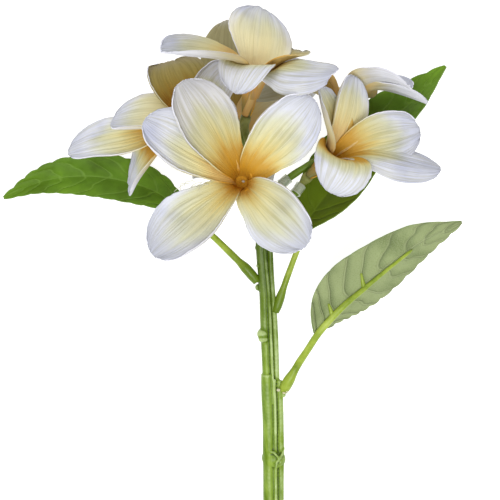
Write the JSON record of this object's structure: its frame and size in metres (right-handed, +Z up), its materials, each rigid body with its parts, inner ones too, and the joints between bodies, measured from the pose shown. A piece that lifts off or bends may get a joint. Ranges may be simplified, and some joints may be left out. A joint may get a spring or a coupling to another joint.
{
  "type": "plumeria flower",
  "caption": "Artificial plumeria spray lying down: a thick green stem with toothed leaves and a head of white pinwheel blooms with yellow throats.",
  "frame": {"origin": "middle of the base of the box round the spray as it lies, on the floor", "axes": "+Y along the stem from the cut end to the blooms, +X to the right seen from above, +Z up"},
  "size_m": [0.2076, 0.2429, 0.0949],
  "materials": {
    "petal": "soft matte cloth, white to yellow",
    "stem": "soft satin green",
    "leaf": "matte printed cloth",
    "leaf_underside": "matte grained cloth",
    "leaf_stalk": "satin green",
    "pedicel": "satin olive green",
    "collar": "clear and glossy"
  },
  "bodies": {
    "root": {"stem": "stem", "leaf_left": "leaf", "stalk_left": "leaf_stalk", "leaf_right": "leaf", "stalk_right": "leaf_stalk", "leaf_low": "leaf_underside", "stalk_low": "leaf_stalk", "corolla_front": "petal", "pedicel_front": "pedicel", "corolla_top": "petal", "pedicel_top": "pedicel", "corolla_right": "petal", "pedicel_right": "pedicel", "corolla_upper_right": "petal", "pedicel_upper_right": "pedicel", "corolla_upper_left": "petal", "pedicel_upper_left": "pedicel", "corolla_left": "petal", "pedicel_left": "pedicel", "corolla_back": "petal", "pedicel_back": "pedicel", "collar_right": "collar", "collar_upper_right": "collar"}
  },
  "joints": []
}
